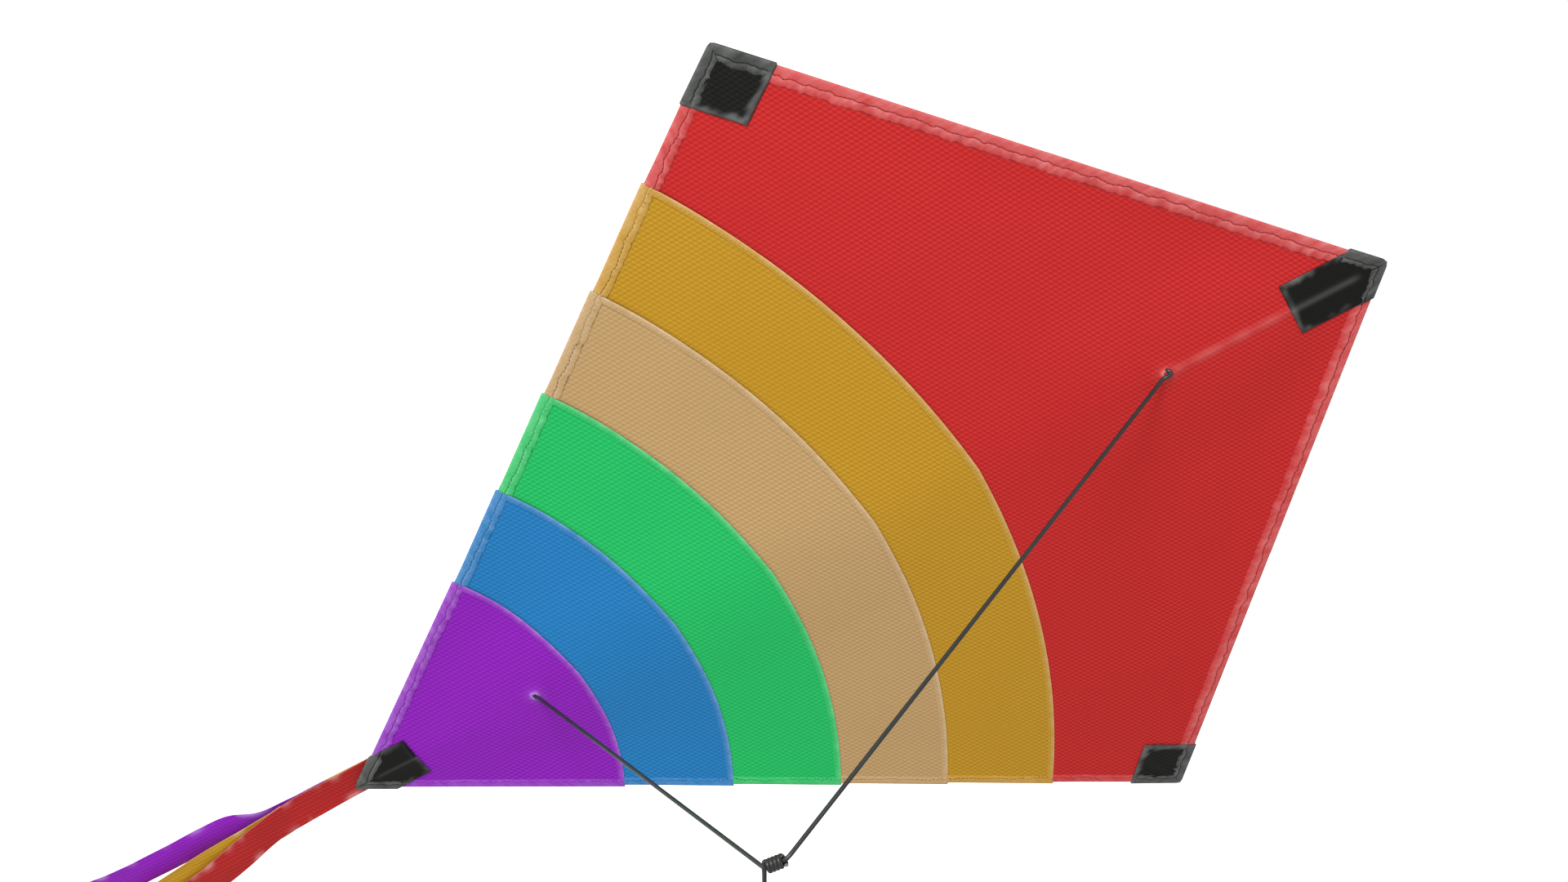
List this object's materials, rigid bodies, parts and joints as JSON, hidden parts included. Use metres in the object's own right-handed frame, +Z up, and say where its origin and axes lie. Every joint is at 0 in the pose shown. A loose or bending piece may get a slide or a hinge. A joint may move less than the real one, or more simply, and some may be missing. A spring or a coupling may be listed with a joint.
{
  "type": "diamond kite",
  "caption": "Diamond kite with a banded cloth sail, spine and cross spars in corner pockets, a two-point bridle with a tow loop, and ribbon tails.",
  "frame": {"origin": "centre of the eye of the tow loop, where the flying line is tied", "axes": "+Z up the spine from the tail to the nose, -Y towards the flyer (the bridle side), +X the right wing seen from the bridle side"},
  "size_m": [0.6382, 0.3911, 1.465],
  "materials": {
    "red_cloth": "dobby-woven polyester kite cloth, satin",
    "amber_cloth": "dobby-woven polyester kite cloth, satin",
    "tan_cloth": "dobby-woven polyester kite cloth, satin",
    "green_cloth": "dobby-woven polyester kite cloth, satin",
    "blue_cloth": "dobby-woven polyester kite cloth, satin",
    "purple_cloth": "dobby-woven polyester kite cloth, satin",
    "pocket_fabric": "heavy coated pocket cloth, matt",
    "fibreglass": "pultruded glass fibre rod, smooth",
    "fitting_plastic": "soft moulded vinyl, fine grain",
    "cap_vinyl": "dipped vinyl, matt",
    "cord": "braided polyester cord, dark grey"
  },
  "bodies": {
    "kite": {"red_panel": "red_cloth", "amber_panel": "amber_cloth", "tan_panel": "tan_cloth", "green_panel": "green_cloth", "blue_panel": "blue_cloth", "purple_panel": "purple_cloth", "nose_pocket": "pocket_fabric", "tail_pocket": "pocket_fabric", "left_tip_pocket": "pocket_fabric", "right_tip_pocket": "pocket_fabric", "ribbon_tab": "pocket_fabric", "spine": "fibreglass", "left_spar": "fibreglass", "right_spar": "fibreglass", "cross_fitting": "fitting_plastic", "upper_stop_ring": "cap_vinyl", "lower_stop_ring": "cap_vinyl", "nose_cap": "cap_vinyl", "tail_cap": "cap_vinyl", "left_spar_cap": "cap_vinyl", "right_spar_cap": "cap_vinyl", "upper_spine_hitch": "cord", "lower_spine_hitch": "cord"},
    "bridle": {"bridle_line": "cord"},
    "hitch": {"tow_hitch": "cord"},
    "leader": {"leader_line": "cord", "loop_knot": "cord", "tow_loop": "cord"},
    "tail_header": {"ribbon_header": "pocket_fabric"},
    "red_streamer": {"red_ribbon": "red_cloth"},
    "amber_streamer": {"amber_ribbon": "amber_cloth"},
    "purple_streamer": {"purple_ribbon": "purple_cloth"}
  },
  "joints": [
    {"name": "bridle_swing", "type": "hinge", "parent": "kite", "child": "bridle", "pos_m": [0, 0.36, 0.07], "axis": [0, 0, 1], "range_deg": [-50, 50]},
    {"name": "hitch_turn", "type": "hinge", "parent": "bridle", "child": "hitch", "pos_m": [0, 0.103, 0.01], "axis": [0, -0.1045, 0.9945], "range_deg": [-40, 40]},
    {"name": "leader_pitch", "type": "hinge", "parent": "hitch", "child": "leader", "pos_m": [0, 0.0988, 0.005], "axis": [1, 0, 0], "range_deg": [-50, 50]},
    {"name": "tail_sway", "type": "hinge", "parent": "kite", "child": "tail_header", "pos_m": [0, 0.3671, -0.3107], "axis": [1, 0, 0], "range_deg": [-30, 60]},
    {"name": "red_ribbon_swing", "type": "hinge", "parent": "tail_header", "child": "red_streamer", "pos_m": [0, 0.3663, -0.3188], "axis": [0, 1, 0], "range_deg": [-20, 20]},
    {"name": "amber_ribbon_swing", "type": "hinge", "parent": "tail_header", "child": "amber_streamer", "pos_m": [0, 0.3671, -0.3188], "axis": [0, 1, 0], "range_deg": [-20, 20]},
    {"name": "purple_ribbon_swing", "type": "hinge", "parent": "tail_header", "child": "purple_streamer", "pos_m": [0, 0.3679, -0.3188], "axis": [0, 1, 0], "range_deg": [-20, 20]}
  ]
}
